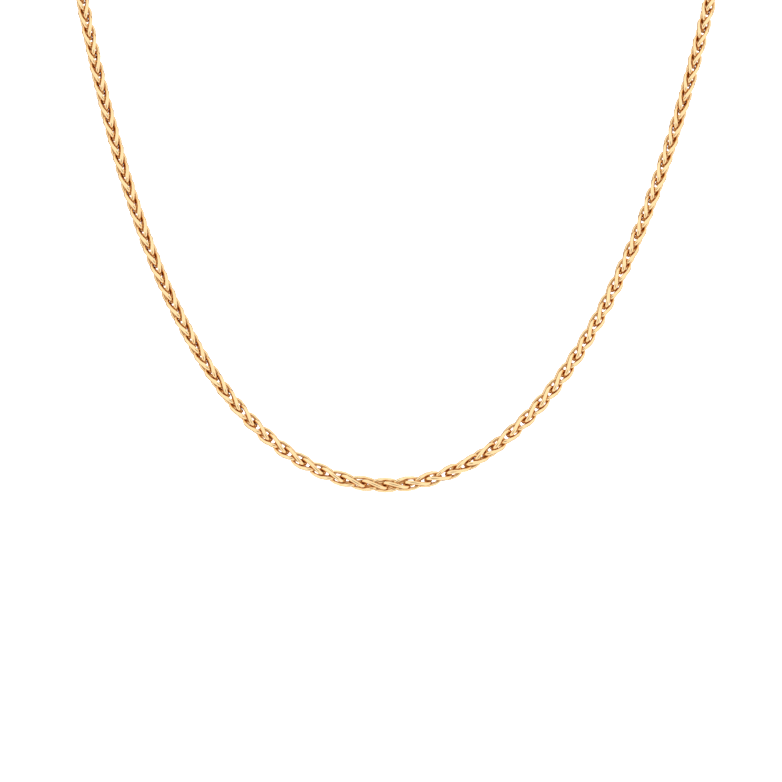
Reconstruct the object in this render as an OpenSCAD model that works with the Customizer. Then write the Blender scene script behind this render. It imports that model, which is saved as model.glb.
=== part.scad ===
// Gold wheat chain necklace: twisted oval links, each one through the two links before it and the
// two after it, so that the row reads as a plait. It keeps the form that it has when it is worn.
// Millimetres. +Z is up and the front faces -Y. The origin is the middle of the clasp at the nape,
// where the necklace hangs.

/* [Chain] */
// Length once round, clasp included
length = 450; // [440:1:456]
// Width across the links
chain_w = 2.65; // [2.5:0.05:2.8]
// Rise from one link to the next but one, which is one full repeat
pitch = 3.62; // [3.5:0.01:3.64]
// Diameter of the wire that the links are bent from
wire_d = 0.7; // [0.5:0.01:0.7]
// Wire diameter that the front links are drawn with, thinner so that neighbours stay clear
drawn_wire_d = 0.52; // [0.3:0.01:0.52]
// How far a link's end reaches past the end of the next link but one
hook = 0.71; // [0.68:0.01:0.76]
// Number of links drawn one by one across the front
front_count = 124; // [100:2:124]

/* [Link] */
// Turn of a link from one end to the other, in degrees
twist = 92; // [80:1:95]
// Squareness of the link's outline, where 2 is an ellipse
squareness = 2.8; // [2.5:0.1:3]
// Straight runs round a link
link_runs = 10; // [10:2:16]
// Sides of a link's wire
wire_sides = 5; // [5:1:6]

/* [Hang] */
// Radius of the curve at the lowest point of the front
sag = 24.6; // [23:0.1:27]
// Length on each side over which the chain hangs freely
free_run = 114; // [112:1:116]
// Level stretch on each side that runs into the clasp
level_run = 9; // [8:0.5:12]
// How far round the links have slid from an even hang
slide = -0.5; // [-0.6:0.1:0.6]
// Lean of the front from upright, in degrees
chest_lean = 30; // [20:1:35]
// Lean of the stretch behind the neck, in degrees
nape_lean = 78; // [60:1:85]
// Height up the sheet at which the lean starts to grow
lean_from = 96; // [94:1:110]
// Height up the sheet at which the lean is full
lean_to = 150; // [140:1:156]

/* [Clasp] */
// Length of the clasp
clasp_l = 16; // [15:0.5:18]
// Diameter of the clasp's barrel
clasp_d = 4.6; // [4.2:0.1:6]
// Outer diameter of the cups at the clasp's ends
cup_d = 3.7; // [3.6:0.1:4]
// Depth of the cups
cup_depth = 3.6; // [3.4:0.1:4]
// Length of a cup from the barrel to its mouth
cup_l = 3.4; // [3:0.1:4]
// Length of the slope from the barrel down to a cup
shoulder_l = 0.8; // [0.4:0.1:1.2]

/* [Hidden] */
gold = [0.93, 0.70, 0.38];

// Arc length counts from the lowest point of the front, positive towards the wearer's left.
half_length = length / 2;
step = 0.5;
steps = half_length / step;
level_s = half_length - level_run;

// Turn of the chain about its own line, in degrees at an arc length in mm.
ROLL = [
    // [arc length, turn]
    [-225, 124],
    [-106, 124],
    [-92, 131],
    [-70, 132],
    [-50, 130],
    [-38, 122],
    [-26, 105],
    [-9, 84],
    [0, 69],
    [12, 41],
    [22, 13],
    [31, 4],
    [43, 7],
    [56, 16],
    [66, 27],
    [82, 31],
    [90, 34],
    [98, 48],
    [110, 55],
    [225, 55]
];

link_gap = 0.22;
link_half = (pitch + hook) / 2;
link_reach = (chain_w - wire_d) / 2;
// How far a wire's ring of points turns from the link's middle towards its ends.
ring_turn = 0.55;

// As many links as reach from one cup of the clasp round to the other, an even number.
end_gap = 0.8;
chain_end = half_length - clasp_l / 2 + cup_depth - end_gap;
link_count = 2 * floor(2 * (chain_end - link_half - wire_d / 2) / pitch + 0.5);
first_front = (link_count - front_count) / 2;
last_front = link_count - 1 - first_front;

// The tube behind holds a link's full width between its flats.
tube_sides = 8;
tube_slack = 0.01;
tube_r = (chain_w + tube_slack) / 2 / cos(180 / tube_sides);
tube_from = even_s(last_front) + link_half + drawn_wire_d / 2 + link_gap;
tube_to = even_s(link_count - 1) + link_half + wire_d / 2;
tube_step = 5.6;

cup_clear = 0.12;
through = 1;
round_fn = 48;

// The centre line is drawn on a flat sheet first: its slope there is a hanging chain's up to free_run,
// and then turns over to run level into the clasp. ease sets how soon it turns.
function slope(s, ease) =
    let (
        hang = atan(s / sag),
        u = min(max((s - free_run) / (level_s - free_run), 0), 1),
        m = (1 - cos(180 * pow(u, ease))) / 2
    )
    hang * (1 - m) + 180 * m;

function across(ease) =
    [for (i = 0, t = 0; i <= steps; i = i + 1, t = t + step * cos(slope((i - 0.5) * step, ease))) t];
function up(ease) =
    [for (i = 0, t = 0; i <= steps; i = i + 1, t = t + step * sin(slope((i - 0.5) * step, ease))) t];

// The value of ease at which the two halves meet, by halving the range.
function closing(low, high, halvings) =
    let (mid = (low + high) / 2)
    halvings == 0 ? mid
        : across(mid)[steps] > 0 ? closing(low, mid, halvings - 1)
        : closing(mid, high, halvings - 1);

least_ease = 0.7;
most_ease = 2;
ease = closing(least_ease, most_ease, 24);
xs = across(ease);
vs = up(ease);

// The sheet leans back, more so behind the neck, which bends the line round the wearer.
function lean(v) =
    chest_lean + (nape_lean - chest_lean) * min(max((v - lean_from) / (lean_to - lean_from), 0), 1);
function rise(i) = i > steps ? 0 : vs[i] - vs[i - 1];
function mid_lean(i) = i > steps ? 0 : lean((vs[i] + vs[i - 1]) / 2);
ys = [for (i = 0, t = 0; i <= steps; i = i + 1, t = t + rise(i) * sin(mid_lean(i))) t];
zs = [for (i = 0, t = 0; i <= steps; i = i + 1, t = t + rise(i) * cos(mid_lean(i))) t];

function between(list, s) =
    let (q = min(abs(s), half_length) / step, i = min(floor(q), steps - 1))
    list[i] + (list[i + 1] - list[i]) * (q - i);

function centre(s) =
    [sign(s) * between(xs, s), between(ys, s) - ys[steps], between(zs, s) - zs[steps]];

// Directions at an arc length: along the chain, out of the sheet towards the viewer, and across.
function along(s) =
    let (p = slope(abs(s), ease), l = lean(between(vs, s)), r = s < 0 ? -sin(p) : sin(p))
    [cos(p), r * sin(l), r * cos(l)];
function outward(s) = let (l = lean(between(vs, s))) [0, -cos(l), sin(l)];
function turned(s, angle) =
    let (n = outward(s), b = cross(along(s), n))
    n * cos(angle) - b * sin(angle);

// Arc length of a link's middle, in an even hang and after the slide.
function even_s(k) = (k - (link_count - 1) / 2) * pitch / 2;
function link_s(k) = even_s(k) + slide;

function signed_power(x) = sign(x) * pow(abs(x), 2 / squareness);
function unit(v) = v / norm(v);

// One point of a link's wire: an oval that turns about the chain's line as it goes along it.
function link_point(a, hand) =
    let (
        z = link_half * signed_power(cos(a)),
        r = link_reach * signed_power(sin(a)),
        f = hand * twist / 2 * z / link_half
    )
    [r * cos(f), r * sin(f), z];

// A ring of points round the wire at one point of a link.
function wire_ring(a, hand) =
    let (
        da = 360 / link_runs,
        p = link_point(a, hand),
        t = unit(link_point(a + da, hand) - link_point(a - da, hand)),
        out = [p.x, p.y, ring_turn * p.z],
        u = unit(out - t * (out * t)),
        v = cross(t, u)
    )
    [for (j = [0:wire_sides - 1])
        let (w = 180 / wire_sides + 360 * j / wire_sides)
        p + (u * cos(w) + v * sin(w)) * drawn_wire_d / 2];

// Every other link twists the other way and starts a quarter turn round.
function link_rings(k) =
    let (
        s = link_s(k),
        odd = k % 2,
        c = centre(s),
        t = along(s),
        x = turned(s, lookup(s, ROLL) - 90 * odd),
        y = cross(t, x)
    )
    [for (i = [0:link_runs - 1])
        [for (p = wire_ring(360 * i / link_runs, odd == 1 ? 1 : -1)) c + x * p.x + y * p.y + t * p.z]];

function tube_ring(s) =
    let (c = centre(s), n = outward(s), b = cross(along(s), n))
    [for (j = [0:tube_sides - 1])
        let (w = 360 * (j + 0.5) / tube_sides)
        c + (n * cos(w) + b * sin(w)) * tube_r];

// Skin over rings of points, closed on itself or capped at both ends.
module skin(rings, closed) {
    n = len(rings);
    m = len(rings[0]);
    runs = closed ? n : n - 1;
    sides = [for (i = [0:runs - 1], j = [0:m - 1], half = [0, 1])
        let (
            a = i * m + j,
            b = i * m + (j + 1) % m,
            c = (i + 1) % n * m + (j + 1) % m,
            d = (i + 1) % n * m + j
        )
        half == 0 ? [a, c, b] : [a, d, c]];
    caps = closed ? [] : [[for (j = [0:m - 1]) j], [for (j = [m - 1:-1:0]) (n - 1) * m + j]];
    polyhedron(points = [for (ring = rings) each ring], faces = concat(sides, caps));
}

module link(k) {
    skin(link_rings(k), true);
}

// Plain stretch behind one shoulder, ended by the link that the front's last two links hold.
module back_half(side) {
    count = ceil((tube_to - tube_from) / tube_step);
    pace = (tube_to - tube_from) / count;
    order = side > 0 ? [0:count] : [count:-1:0];
    union() {
        skin([for (i = order) tube_ring(slide + side * (tube_from + i * pace))], false);
        link(side > 0 ? last_front + 1 : first_front - 1);
    }
}

module front_chain() {
    color(gold)
    for (k = [first_front:last_front])
        link(k);
}

module back_chain() {
    color(gold)
    for (side = [-1, 1])
        back_half(side);
}

// Barrel with a cup at each end, in which the chain's ends are held.
module clasp() {
    half = clasp_l / 2;
    barrel_half = half - cup_l;
    color(gold)
    rotate([0, 90, 0])
    difference() {
        union() {
            cylinder(d = cup_d, h = clasp_l, center = true, $fn = round_fn);
            cylinder(d = clasp_d, h = 2 * barrel_half, center = true, $fn = round_fn);
            for (side = [0, 180])
                rotate([side, 0, 0])
                translate([0, 0, barrel_half])
                cylinder(d1 = clasp_d, d2 = cup_d, h = shoulder_l, $fn = round_fn);
        }
        for (side = [0, 180])
            rotate([side, 0, 0])
            translate([0, 0, half - cup_depth])
            cylinder(r = tube_r + cup_clear, h = cup_depth + through, $fn = round_fn);
    }
}

front_chain();
back_chain();
clasp();
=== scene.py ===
"""Gold wheat chain necklace: every link drawn, a soft-edged barrel clasp and a white studio."""
import math

import bpy
from mathutils import Matrix, Vector


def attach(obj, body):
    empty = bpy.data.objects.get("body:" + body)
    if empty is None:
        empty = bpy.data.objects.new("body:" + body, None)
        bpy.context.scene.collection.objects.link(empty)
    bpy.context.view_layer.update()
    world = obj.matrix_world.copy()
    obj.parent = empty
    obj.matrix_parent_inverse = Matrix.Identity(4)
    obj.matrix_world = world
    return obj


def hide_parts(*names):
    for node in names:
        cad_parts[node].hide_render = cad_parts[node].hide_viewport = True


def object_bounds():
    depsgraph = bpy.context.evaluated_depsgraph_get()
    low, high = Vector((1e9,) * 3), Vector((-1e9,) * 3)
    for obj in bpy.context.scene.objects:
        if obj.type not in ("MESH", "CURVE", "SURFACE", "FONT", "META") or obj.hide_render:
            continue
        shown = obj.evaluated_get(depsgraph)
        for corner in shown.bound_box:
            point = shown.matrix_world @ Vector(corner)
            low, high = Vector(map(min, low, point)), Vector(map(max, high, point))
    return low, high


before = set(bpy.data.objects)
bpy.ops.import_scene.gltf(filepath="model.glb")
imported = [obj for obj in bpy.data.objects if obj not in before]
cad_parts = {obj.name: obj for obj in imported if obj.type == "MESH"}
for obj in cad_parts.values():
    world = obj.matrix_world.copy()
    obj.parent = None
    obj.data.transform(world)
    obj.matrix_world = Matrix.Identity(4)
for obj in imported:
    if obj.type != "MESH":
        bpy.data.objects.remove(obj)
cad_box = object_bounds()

MM = 0.001

# The chain's sizes, as in part.scad. PITCH is the rise from one link to the next but one, and HOOK
# is how far a link's end reaches past the end of that one. TWIST is a link's turn from end to end
# in degrees. SQUARENESS is 2 for an ellipse. FRONT_COUNT is how many links the front has.
LENGTH = 450 * MM
CHAIN_W = 2.65 * MM
PITCH = 3.62 * MM
WIRE_D = 0.70 * MM
HOOK = 0.71 * MM
FRONT_COUNT = 124
TWIST = 92
SQUARENESS = 2.8

# How it hangs, on a sheet that leans back. SAG is the radius of the curve at the lowest point. On
# each side the chain hangs freely for FREE_RUN, and runs level for LEVEL_RUN into the clasp. SLIDE
# is how far round the links have slid. The sheet leans CHEST_LEAN degrees up to the height
# LEAN_FROM, and NAPE_LEAN degrees past LEAN_TO.
SAG = 24.6 * MM
FREE_RUN = 114 * MM
LEVEL_RUN = 9 * MM
SLIDE = -0.5 * MM
CHEST_LEAN = 30
NAPE_LEAN = 78
LEAN_FROM = 96 * MM
LEAN_TO = 150 * MM

# Turn of the chain about its own line
ROLL = [
    # (arc length from the lowest point in mm, turn in degrees)
    (-225, 124),
    (-106, 124),
    (-92, 131),
    (-70, 132),
    (-50, 130),
    (-38, 122),
    (-26, 105),
    (-9, 84),
    (0, 69),
    (12, 41),
    (22, 13),
    (31, 4),
    (43, 7),
    (56, 16),
    (66, 27),
    (82, 31),
    (90, 34),
    (98, 48),
    (110, 55),
    (225, 55),
]

# The clasp
CLASP_L = 16 * MM
CLASP_D = 4.6 * MM
CUP_D = 3.7 * MM
CUP_DEPTH = 3.6 * MM
CUP_L = 3.4 * MM
SHOULDER_L = 0.8 * MM
CUP_CLEAR = 0.12 * MM
EDGE_R = 0.16 * MM

# The plain bars that part.scad has behind the shoulders, which the cups' bores clear too
TUBE_SIDES = 8
TUBE_SLACK = 0.01 * MM

# Faces along and round a link's wire, and how far a link is turned out of line, in degrees
LINK_RUNS = 16
WIRE_SIDES = 6
WOBBLE = 1.0
SEED = 7

# The camera's distance from the chain's lowest point, its turns in degrees, and how far the middle
# of the view is above that point and to its right
VIEW_DISTANCE = 800 * MM
VIEW_DOWN = 7.2
VIEW_ROLL = 1.36
VIEW_ABOVE = 15.8 * MM
VIEW_RIGHT = 1.0 * MM

# Its frame: scale and side in pixels, sensor in mm, and the nearest and farthest that it sees in
# metres
PIXELS_PER_MM = 5.965
IMAGE_SIDE = 782
SENSOR = 36
NEAREST = 0.01
FARTHEST = 20

# The metal, with POLISH as its roughness
GOLD = (0.96, 0.72, 0.40)
ROSY_GOLD = (0.95, 0.68, 0.37)
POLISH = 0.10
DIP_DEPTH = 0.01 * MM

# Levels of the noise between which rosier patches and wiping marks set in, and how much the marks
# add to the dips
ROSY_FROM = 0.35
ROSY_FULL = 0.7
WIPED_FROM = 0.45
WIPED_FULL = 0.75
WIPED_HEIGHT = 0.12

# Painted shade: a deeper colour in the nooks between wires, where shade falls, by how much of the
# space
# within NOOK_DEPTH is open: full up to NOOK_DARK of it, and none at NOOK_CLEAR
PAINTED_NOOK_SHADE = (0.6, 0.22, 0.01)
NOOK_DEPTH = 0.7 * MM
NOOK_DARK = 0.25
NOOK_CLEAR = 1.0
NOOK_RAYS = 8

# The floor
FLOOR_DROP = 180 * MM
FLOOR_R = 12.0
FLOOR_SIDES = 64
FLOOR_WHITE = (0.95, 0.95, 0.95)
FLOOR_ROUGH = 0.9
FLOOR_SHINE = 0.1
FLOOR_GLOW = 1.0

# The room's light comes from a height and a turn to the wearer's left, in degrees. The room has
# BACK_LIGHT up to BACK_FROM and FRONT_LIGHT past FRONT_FROM, which are cosines of the angle to that
# direction.
FRONT_LIGHT = (1.2, 1.2, 1.2)
BACK_LIGHT = (0.4, 0.25, 0.13)
LIGHT_HEIGHT = 7
LIGHT_TURN = 12
BACK_FROM = -0.9
FRONT_FROM = -0.2

# A dim round patch straight in front, given in the same way
DIM_HEIGHT = 5
DIM_LIGHT = 0.3
DIM_EDGE = 0.85
DIM_MIDDLE = 0.97

# Plain white, for the floor's glow and for the room where the camera sees it
WHITE = (1, 1, 1, 1)

# Worked out from the sizes above
HALF_LENGTH = LENGTH / 2
STEP = 0.5 * MM
STEPS = round(HALF_LENGTH / STEP)
LEVEL_S = HALF_LENGTH - LEVEL_RUN
LINK_HALF = (PITCH + HOOK) / 2
LINK_REACH = (CHAIN_W - WIRE_D) / 2


# The chain's centre line

def share(value, low, high):
    """How far a value has come from low to high, held between 0 and 1."""
    return min(max((value - low) / (high - low), 0), 1)


def slope(s, ease):
    """Slope of the line on its flat sheet, in radians: a hanging chain's, then level to the nape."""
    hang = math.atan(s / SAG)
    over = (1 - math.cos(math.pi * share(s, FREE_RUN, LEVEL_S) ** ease)) / 2
    return hang * (1 - over) + math.pi * over


def sums(parts):
    """Running totals, from nought."""
    totals = [0.0]
    for part in parts:
        totals.append(totals[-1] + part)
    return totals


def run(ease, direction):
    """Way covered on the sheet at each step, across with math.cos or up with math.sin."""
    return sums(STEP * direction(slope((i + 0.5) * STEP, ease)) for i in range(STEPS))


def closing_ease(low=0.7, high=2.0, halvings=24):
    """The ease at which the two halves meet at the nape."""
    for _ in range(halvings):
        middle = (low + high) / 2
        if run(middle, math.cos)[-1] > 0:
            high = middle
        else:
            low = middle
    return (low + high) / 2


def lean(v):
    """Lean of the sheet from upright at a height up the sheet, in radians."""
    return math.radians(CHEST_LEAN + (NAPE_LEAN - CHEST_LEAN) * share(v, LEAN_FROM, LEAN_TO))


EASE = closing_ease()
XS = run(EASE, math.cos)
VS = run(EASE, math.sin)
RISES = [(VS[i + 1] - VS[i], lean((VS[i + 1] + VS[i]) / 2)) for i in range(STEPS)]
YS = sums(rise * math.sin(tilt) for rise, tilt in RISES)
ZS = sums(rise * math.cos(tilt) for rise, tilt in RISES)


def between(values, s):
    """Value at an arc length, from a list with one entry for each step."""
    place = min(abs(s), HALF_LENGTH) / STEP
    i = min(int(place), STEPS - 1)
    return values[i] + (values[i + 1] - values[i]) * (place - i)


def centre(s):
    """Point of the chain's centre line at an arc length from the lowest point."""
    side = math.copysign(1, s)
    return Vector((side * between(XS, s), between(YS, s) - YS[-1], between(ZS, s) - ZS[-1]))


def along(s):
    """Direction of the chain at an arc length."""
    angle = slope(abs(s), EASE)
    rise = math.copysign(math.sin(angle), s)
    tilt = lean(between(VS, s))
    return Vector((math.cos(angle), rise * math.sin(tilt), rise * math.cos(tilt)))


def outward(s):
    """Direction out of the sheet at an arc length, towards the viewer."""
    tilt = lean(between(VS, s))
    return Vector((0, -math.cos(tilt), math.sin(tilt)))


def roll(s):
    """Turn of the chain about its own line at an arc length, in degrees."""
    for (s0, a0), (s1, a1) in zip(ROLL, ROLL[1:]):
        if s / MM <= s1:
            return a0 + (a1 - a0) * share(s / MM, s0, s1)
    return ROLL[-1][1]


def link_axes(s, quarter):
    """Turn of a link as a quaternion. quarter is 1 for a link that sits a quarter turn round."""
    forward = along(s)
    normal = outward(s)
    side = forward.cross(normal)
    angle = math.radians(roll(s) - 90 * quarter)
    x = normal * math.cos(angle) - side * math.sin(angle)
    y = forward.cross(x)
    return Matrix((x, y, forward)).transposed().to_quaternion()


# As many links as reach from one cup of the clasp round to the other
END_GAP = 0.8 * MM
CHAIN_END = HALF_LENGTH - CLASP_L / 2 + CUP_DEPTH - END_GAP
LINK_COUNT = 2 * int(2 * (CHAIN_END - LINK_HALF - WIRE_D / 2) / PITCH + 0.5)
FIRST_FRONT = (LINK_COUNT - FRONT_COUNT) // 2


def link_s(k):
    """Arc length of a link's middle."""
    return (k - (LINK_COUNT - 1) / 2) * PITCH / 2 + SLIDE


# Short calls for node trees

def add(tree, kind, inputs=None, **settings):
    """A new node with its settings, and its inputs set to values or joined to other sockets."""
    node = tree.nodes.new(kind)
    for name, value in settings.items():
        setattr(node, name, value)
    for key, value in (inputs or {}).items():
        if isinstance(value, bpy.types.NodeSocket):
            tree.links.new(value, node.inputs[key])
        else:
            node.inputs[key].default_value = value
    return node


def calc(tree, operation, *values):
    """One step of arithmetic, as the socket that holds its result."""
    return add(tree, "ShaderNodeMath", dict(enumerate(values)), operation=operation).outputs[0]


def blend(tree, part, first, second):
    """A colour between two others: first where part is 0, second where it is 1."""
    # A Mix node's colours are its inputs 6 and 7, and the mixed colour is its output 2
    return add(tree, "ShaderNodeMix", {0: part, 6: first, 7: second}, data_type="RGBA").outputs[2]


def new_group(name, kind, inputs, outputs):
    """A node group with named sockets. inputs and outputs list (name, socket kind, default)."""
    tree = bpy.data.node_groups.new(name, kind)
    for way, rows in (("INPUT", inputs), ("OUTPUT", outputs)):
        for label, socket, default in rows:
            made = tree.interface.new_socket(label, in_out=way, socket_type=socket)
            if default is not None:
                made.default_value = default
    return tree


FLOAT, INT, GEOMETRY = "NodeSocketFloat", "NodeSocketInt", "NodeSocketGeometry"
COLOUR, MATERIAL = "NodeSocketColor", "NodeSocketMaterial"

LINK_SIZES = [
    ("Half Length", FLOAT, LINK_HALF),
    ("Reach", FLOAT, LINK_REACH),
    ("Half Twist", FLOAT, math.radians(TWIST / 2)),
    ("Squareness", FLOAT, SQUARENESS),
    ("Wire Radius", FLOAT, WIRE_D / 2),
    ("Runs", INT, LINK_RUNS),
    ("Sides", INT, WIRE_SIDES),
]


def link_tree():
    """One link along Z: a squared oval of wire that turns about its own length."""
    tree = new_group("wheat_link", "GeometryNodeTree", LINK_SIZES, [("Link", GEOMETRY, None)])
    given = add(tree, "NodeGroupInput").outputs
    ring = add(tree, "GeometryNodeCurvePrimitiveCircle",
               {"Resolution": given["Runs"], "Radius": 1.0})
    index = add(tree, "GeometryNodeInputIndex").outputs[0]
    angle = calc(tree, "DIVIDE", calc(tree, "MULTIPLY", index, math.tau), given["Runs"])
    power = calc(tree, "DIVIDE", 2.0, given["Squareness"])

    def squared(wave, size):
        value = calc(tree, wave, angle)
        grown = calc(tree, "POWER", calc(tree, "ABSOLUTE", value), power)
        signed = calc(tree, "MULTIPLY", grown, calc(tree, "SIGN", value))
        return calc(tree, "MULTIPLY", signed, size)

    length = squared("COSINE", given["Half Length"])
    reach = squared("SINE", given["Reach"])
    part = calc(tree, "DIVIDE", length, given["Half Length"])
    turn = calc(tree, "MULTIPLY", part, given["Half Twist"])
    place = add(tree, "ShaderNodeCombineXYZ", {
        "X": calc(tree, "MULTIPLY", reach, calc(tree, "COSINE", turn)),
        "Y": calc(tree, "MULTIPLY", reach, calc(tree, "SINE", turn)),
        "Z": length,
    })
    line = add(tree, "GeometryNodeSetPosition",
               {"Geometry": ring.outputs[0], "Position": place.outputs[0]})
    section = add(tree, "GeometryNodeCurvePrimitiveCircle",
                  {"Resolution": given["Sides"], "Radius": given["Wire Radius"]})
    wire = add(tree, "GeometryNodeCurveToMesh",
               {"Curve": line.outputs[0], "Profile Curve": section.outputs[0]})
    add(tree, "NodeGroupOutput", {"Link": wire.outputs[0]})
    return tree


def chain_tree(link):
    """Links of both hands on the points of a chain, each with a small random turn of its own."""
    inputs = [
        ("Places", GEOMETRY, None),
        *LINK_SIZES,
        ("Wobble", FLOAT, math.radians(WOBBLE)),
        ("Seed", INT, SEED),
        ("Metal", MATERIAL, None),
    ]
    tree = new_group("wheat_chain", "GeometryNodeTree", inputs, [("Chain", GEOMETRY, None)])
    given = add(tree, "NodeGroupInput").outputs
    odd = add(tree, "GeometryNodeInputNamedAttribute", {"Name": "odd"}, data_type="BOOLEAN")
    odd = odd.outputs["Attribute"]
    even = add(tree, "FunctionNodeBooleanMath", {0: odd}, operation="NOT").outputs[0]
    turn = add(tree, "GeometryNodeInputNamedAttribute", {"Name": "turn"}, data_type="QUATERNION")
    least = calc(tree, "MULTIPLY", given["Wobble"], -1.0)
    stray = add(tree, "FunctionNodeRandomValue",
                {"Min": least, "Max": given["Wobble"], "Seed": given["Seed"]},
                data_type="FLOAT_VECTOR")
    stray = add(tree, "FunctionNodeEulerToRotation", {0: stray.outputs[0]})
    turn = add(tree, "FunctionNodeRotateRotation",
               {0: turn.outputs["Attribute"], 1: stray.outputs[0]},
               rotation_space="LOCAL")
    joined = add(tree, "GeometryNodeJoinGeometry")
    for hand, chosen in ((-1.0, even), (1.0, odd)):
        sizes = {label: given[label] for label, _, _ in LINK_SIZES}
        sizes["Half Twist"] = calc(tree, "MULTIPLY", given["Half Twist"], hand)
        shape = add(tree, "GeometryNodeGroup", node_tree=link)
        for label, socket in sizes.items():
            tree.links.new(socket, shape.inputs[label])
        row = add(tree, "GeometryNodeInstanceOnPoints", {
            "Points": given["Places"],
            "Selection": chosen,
            "Instance": shape.outputs[0],
            "Rotation": turn.outputs[0],
        })
        tree.links.new(row.outputs[0], joined.inputs[0])
    real = add(tree, "GeometryNodeRealizeInstances", {"Geometry": joined.outputs[0]})
    smooth = add(tree, "GeometryNodeSetShadeSmooth",
                 {"Geometry": real.outputs[0], "Shade Smooth": True})
    metal = add(tree, "GeometryNodeSetMaterial",
                {"Geometry": smooth.outputs[0], "Material": given["Metal"]})
    add(tree, "NodeGroupOutput", {"Chain": metal.outputs[0]})
    return tree


# Finishes

def alloy_tone():
    """Soft drift of the metal's colour between a rosier and a paler gold."""
    tree = new_group("alloy_tone", "ShaderNodeTree",
                     [("Gold", COLOUR, None), ("Rosy", COLOUR, None), ("Patches", FLOAT, None)],
                     [("Colour", COLOUR, None)])
    given = add(tree, "NodeGroupInput").outputs
    place = add(tree, "ShaderNodeTexCoord").outputs["Object"]
    noise = add(tree, "ShaderNodeTexNoise",
                {"Vector": place, "Scale": given["Patches"], "Detail": 2.0})
    mask = add(tree, "ShaderNodeMapRange",
               {"Value": noise.outputs[0], "From Min": ROSY_FROM, "From Max": ROSY_FULL})
    colour = blend(tree, mask.outputs[0], given["Gold"], given["Rosy"])
    add(tree, "NodeGroupOutput", {"Colour": colour})
    return tree


def polish_marks():
    """Fine wiping marks and shallow dips of hand-finished metal, as a roughness and a height."""
    tree = new_group("polish_marks", "ShaderNodeTree",
                     [("Roughness", FLOAT, None), ("Dulled", FLOAT, None),
                      ("Marks", FLOAT, None), ("Dips", FLOAT, None)],
                     [("Roughness", FLOAT, None), ("Height", FLOAT, None)])
    given = add(tree, "NodeGroupInput").outputs
    place = add(tree, "ShaderNodeTexCoord").outputs["Object"]
    marks = add(tree, "ShaderNodeTexNoise", {
        "Vector": place,
        "Scale": given["Marks"],
        "Detail": 3.0,
        "Distortion": 1.5,
    }).outputs[0]
    dips = add(tree, "ShaderNodeTexNoise",
               {"Vector": place, "Scale": given["Dips"], "Detail": 1.0}).outputs[0]
    worn = add(tree, "ShaderNodeMapRange", {
        "Value": marks,
        "From Min": WIPED_FROM,
        "From Max": WIPED_FULL,
        "To Min": given["Roughness"],
        "To Max": given["Dulled"],
    })
    height = calc(tree, "ADD", dips, calc(tree, "MULTIPLY", marks, WIPED_HEIGHT))
    add(tree, "NodeGroupOutput", {"Roughness": worn.outputs[0], "Height": height})
    return tree


def gold(name, tone, wear, dulled, patches, marks, dips):
    """Polished gold, with shade painted into its nooks.

    dulled is the roughness of a wiping mark. patches, marks and dips are how many go to a metre.
    """
    metal = bpy.data.materials.new(name)
    metal.use_nodes = True
    tree = metal.node_tree
    shader = tree.nodes["Principled BSDF"]
    shader.inputs["Metallic"].default_value = 1.0
    drift = add(tree, "ShaderNodeGroup", node_tree=tone)
    drift.inputs["Gold"].default_value = (*GOLD, 1)
    drift.inputs["Rosy"].default_value = (*ROSY_GOLD, 1)
    drift.inputs["Patches"].default_value = patches
    worn = add(tree, "ShaderNodeGroup", node_tree=wear)
    worn.inputs["Roughness"].default_value = POLISH
    worn.inputs["Dulled"].default_value = dulled
    worn.inputs["Marks"].default_value = marks
    worn.inputs["Dips"].default_value = dips
    bump = add(tree, "ShaderNodeBump",
               {"Height": worn.outputs["Height"], "Strength": 1.0, "Distance": DIP_DEPTH})
    # Painted shade in the nooks: the base colour darkens towards a deep shaded gold where nearby
    # wires close in round a point
    shelter = add(tree, "ShaderNodeAmbientOcclusion", {"Distance": NOOK_DEPTH}, samples=NOOK_RAYS)
    unshaded_share = add(tree, "ShaderNodeMapRange",
                    {"Value": shelter.outputs["AO"], "From Min": NOOK_DARK, "From Max": NOOK_CLEAR})
    colour = blend(tree, unshaded_share.outputs[0], (*PAINTED_NOOK_SHADE, 1), drift.outputs["Colour"])
    tree.links.new(colour, shader.inputs["Base Color"])
    tree.links.new(worn.outputs["Roughness"], shader.inputs["Roughness"])
    tree.links.new(bump.outputs[0], shader.inputs["Normal"])
    return metal


# Pieces

def new_piece(name, mesh):
    """An object at the origin with the given mesh."""
    piece = bpy.data.objects.new(name, mesh)
    bpy.context.scene.collection.objects.link(piece)
    return piece


def chain_piece(name, numbers, tree, metal):
    """The links with the given numbers, as one plain mesh."""
    mesh = bpy.data.meshes.new(name)
    mesh.from_pydata([centre(link_s(k)) for k in numbers], [], [])
    odds = mesh.attributes.new("odd", "BOOLEAN", "POINT")
    odds.data.foreach_set("value", [k % 2 == 1 for k in numbers])
    turns = mesh.attributes.new("turn", "QUATERNION", "POINT")
    turns.data.foreach_set("value", [part for k in numbers for part in link_axes(link_s(k), k % 2)])
    piece = new_piece(name, mesh)
    modifier = piece.modifiers.new("links", "NODES")
    modifier.node_group = tree
    for item in tree.interface.items_tree:
        if item.in_out == "INPUT" and item.name == "Metal":
            modifier[item.identifier] = metal
    graph = bpy.context.evaluated_depsgraph_get()
    made = bpy.data.meshes.new_from_object(piece.evaluated_get(graph))
    piece.modifiers.remove(modifier)
    piece.data = made
    made.name = name
    bpy.data.meshes.remove(mesh)
    return piece


def rounded(corners, radius, steps=4):
    """An outline of (x, r) corners with each inner corner softened by a short curve."""
    soft = [corners[0]]
    for before, corner, after in zip(corners, corners[1:], corners[2:]):
        here = Vector(corner)
        start = here + (Vector(before) - here).normalized() * radius
        end = here + (Vector(after) - here).normalized() * radius
        for i in range(steps + 1):
            t = i / steps
            soft.append(tuple(start * (1 - t) ** 2 + here * 2 * t * (1 - t) + end * t ** 2))
    return soft + [corners[-1]]


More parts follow.
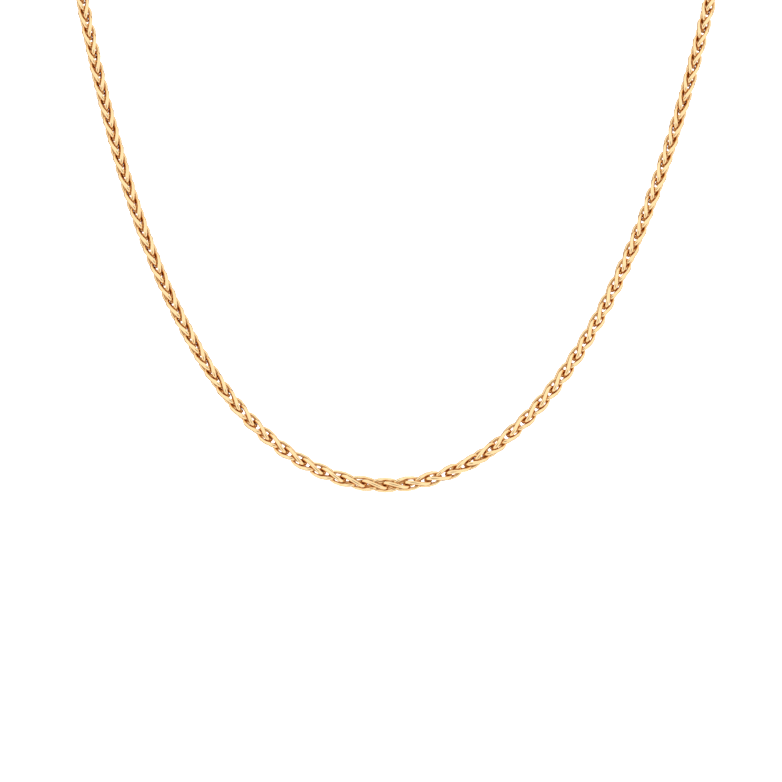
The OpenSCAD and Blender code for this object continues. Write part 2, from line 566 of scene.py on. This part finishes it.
def clasp_piece(name, metal, sides=64):
    """Barrel with a cup at each end, its edges softened, turned about X."""
    bore_r = (CHAIN_W + TUBE_SLACK) / 2 / math.cos(math.pi / TUBE_SIDES) + CUP_CLEAR
    half = CLASP_L / 2
    barrel_half = half - CUP_L
    right = [
        (0, CLASP_D / 2),
        (barrel_half, CLASP_D / 2),
        (barrel_half + SHOULDER_L, CUP_D / 2),
        (half, CUP_D / 2),
        (half, bore_r),
        (half - CUP_DEPTH, bore_r),
        (half - CUP_DEPTH, 0),
    ]
    soft = rounded(right, EDGE_R)
    outline = [(-x, r) for x, r in reversed(soft)] + soft[1:]
    points = []
    rings = []
    for x, r in outline:
        count = sides if r > 0 else 1
        rings.append(range(len(points), len(points) + count))
        for j in range(count):
            angle = math.tau * j / sides
            points.append((x, r * math.cos(angle), r * math.sin(angle)))
    faces = []
    for first, second in zip(rings, rings[1:]):
        for j in range(sides):
            k = (j + 1) % sides
            corners = [
                first[j % len(first)],
                first[k % len(first)],
                second[k % len(second)],
                second[j % len(second)],
            ]
            # At the axis two corners are one point, and the face is a triangle
            faces.append(list(dict.fromkeys(corners)))
    mesh = bpy.data.meshes.new(name)
    mesh.from_pydata(points, [], faces)
    mesh.polygons.foreach_set("use_smooth", [True] * len(faces))
    mesh.materials.append(metal)
    mesh.update()
    return new_piece(name, mesh)


# Studio

def white_floor():
    """Round pale floor below the necklace, wide enough to fill the view."""
    z = cad_box[0].z - FLOOR_DROP
    angles = [math.tau * i / FLOOR_SIDES for i in range(FLOOR_SIDES)]
    points = [(FLOOR_R * math.cos(angle), FLOOR_R * math.sin(angle), z) for angle in angles]
    mesh = bpy.data.meshes.new("floor")
    mesh.from_pydata(points, [], [list(range(FLOOR_SIDES))])
    paint = bpy.data.materials.new("floor_paint")
    paint.use_nodes = True
    shader = paint.node_tree.nodes["Principled BSDF"]
    shader.inputs["Base Color"].default_value = (*FLOOR_WHITE, 1)
    shader.inputs["Roughness"].default_value = FLOOR_ROUGH
    shader.inputs["Specular IOR Level"].default_value = FLOOR_SHINE
    shader.inputs["Emission Color"].default_value = WHITE
    shader.inputs["Emission Strength"].default_value = FLOOR_GLOW
    mesh.materials.append(paint)
    floor = new_piece("floor", mesh)
    floor.visible_glossy = False


def soft_room():
    """White light in front, dimmer and warmer behind.

    A dim patch in front draws a dark line on each wire.
    """
    world = bpy.data.worlds.new("soft_room")
    bpy.context.scene.world = world
    world.use_nodes = True
    tree = world.node_tree
    direction = add(tree, "ShaderNodeTexCoord").outputs["Generated"]

    def facing(height, turn):
        """Cosine of the angle to a direction, which is given in degrees."""
        up = math.radians(height)
        side = math.radians(turn)
        towards = (math.sin(side) * math.cos(up), -math.cos(side) * math.cos(up), math.sin(up))
        product = add(tree, "ShaderNodeVectorMath",
                      {0: direction, 1: towards}, operation="DOT_PRODUCT")
        return product.outputs["Value"]

    front = add(tree, "ShaderNodeMapRange", {
        "Value": facing(LIGHT_HEIGHT, LIGHT_TURN),
        "From Min": BACK_FROM,
        "From Max": FRONT_FROM,
    }, interpolation_type="SMOOTHSTEP").outputs[0]
    room = blend(tree, front, (*BACK_LIGHT, 1), (*FRONT_LIGHT, 1))
    patch = add(tree, "ShaderNodeMapRange", {
        "Value": facing(DIM_HEIGHT, 0),
        "From Min": DIM_EDGE,
        "From Max": DIM_MIDDLE,
        "To Min": 1.0,
        "To Max": DIM_LIGHT,
    }, interpolation_type="SMOOTHSTEP").outputs[0]

    # Where the camera itself sees the room, it is plain white
    seen = add(tree, "ShaderNodeLightPath").outputs["Is Camera Ray"]
    colour = blend(tree, seen, room, WHITE)
    level = calc(tree, "MAXIMUM", patch, seen)
    light = tree.nodes["Background"]
    tree.links.new(colour, light.inputs["Color"])
    tree.links.new(level, light.inputs["Strength"])


def camera():
    """The photograph's view, from the front and a little from above."""
    down = math.radians(VIEW_DOWN)
    ahead = Vector((0, math.cos(down), -math.sin(down)))
    up = Vector((0, math.sin(down), math.cos(down)))
    right = Vector((1, 0, 0))
    place = centre(0) + up * VIEW_ABOVE + right * VIEW_RIGHT - ahead * VIEW_DISTANCE
    level = Matrix((right, up, -ahead)).transposed()
    turn = level @ Matrix.Rotation(math.radians(VIEW_ROLL), 3, "Z")
    lens = bpy.data.cameras.new("camera")
    lens.sensor_width = SENSOR
    lens.lens = SENSOR * PIXELS_PER_MM * (VIEW_DISTANCE / MM) / IMAGE_SIDE
    lens.clip_start = NEAREST
    lens.clip_end = FARTHEST
    seen = bpy.data.objects.new("camera", lens)
    seen.matrix_world = Matrix.Translation(place) @ turn.to_4x4()
    bpy.context.scene.collection.objects.link(seen)
    bpy.context.scene.camera = seen


bpy.context.scene.view_settings.view_transform = "Standard"
camera()
soft_room()
white_floor()

tone = alloy_tone()
wear = polish_marks()
wire_gold = gold("gold_wire", tone, wear, dulled=0.22, patches=300, marks=5000, dips=900)
clasp_gold = gold("gold_clasp", tone, wear, dulled=0.24, patches=200, marks=3000, dips=500)

wheat_chain = chain_tree(link_tree())
front_numbers = range(FIRST_FRONT, FIRST_FRONT + FRONT_COUNT)
back_numbers = [k for k in range(LINK_COUNT) if k not in front_numbers]

front = chain_piece("front_links", front_numbers, wheat_chain, wire_gold)
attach(front, "root")
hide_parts("front_chain")

back = chain_piece("back_links", back_numbers, wheat_chain, wire_gold)
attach(back, "root")
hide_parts("back_chain")

clasp = clasp_piece("barrel_clasp", clasp_gold)
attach(clasp, "root")
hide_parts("clasp")
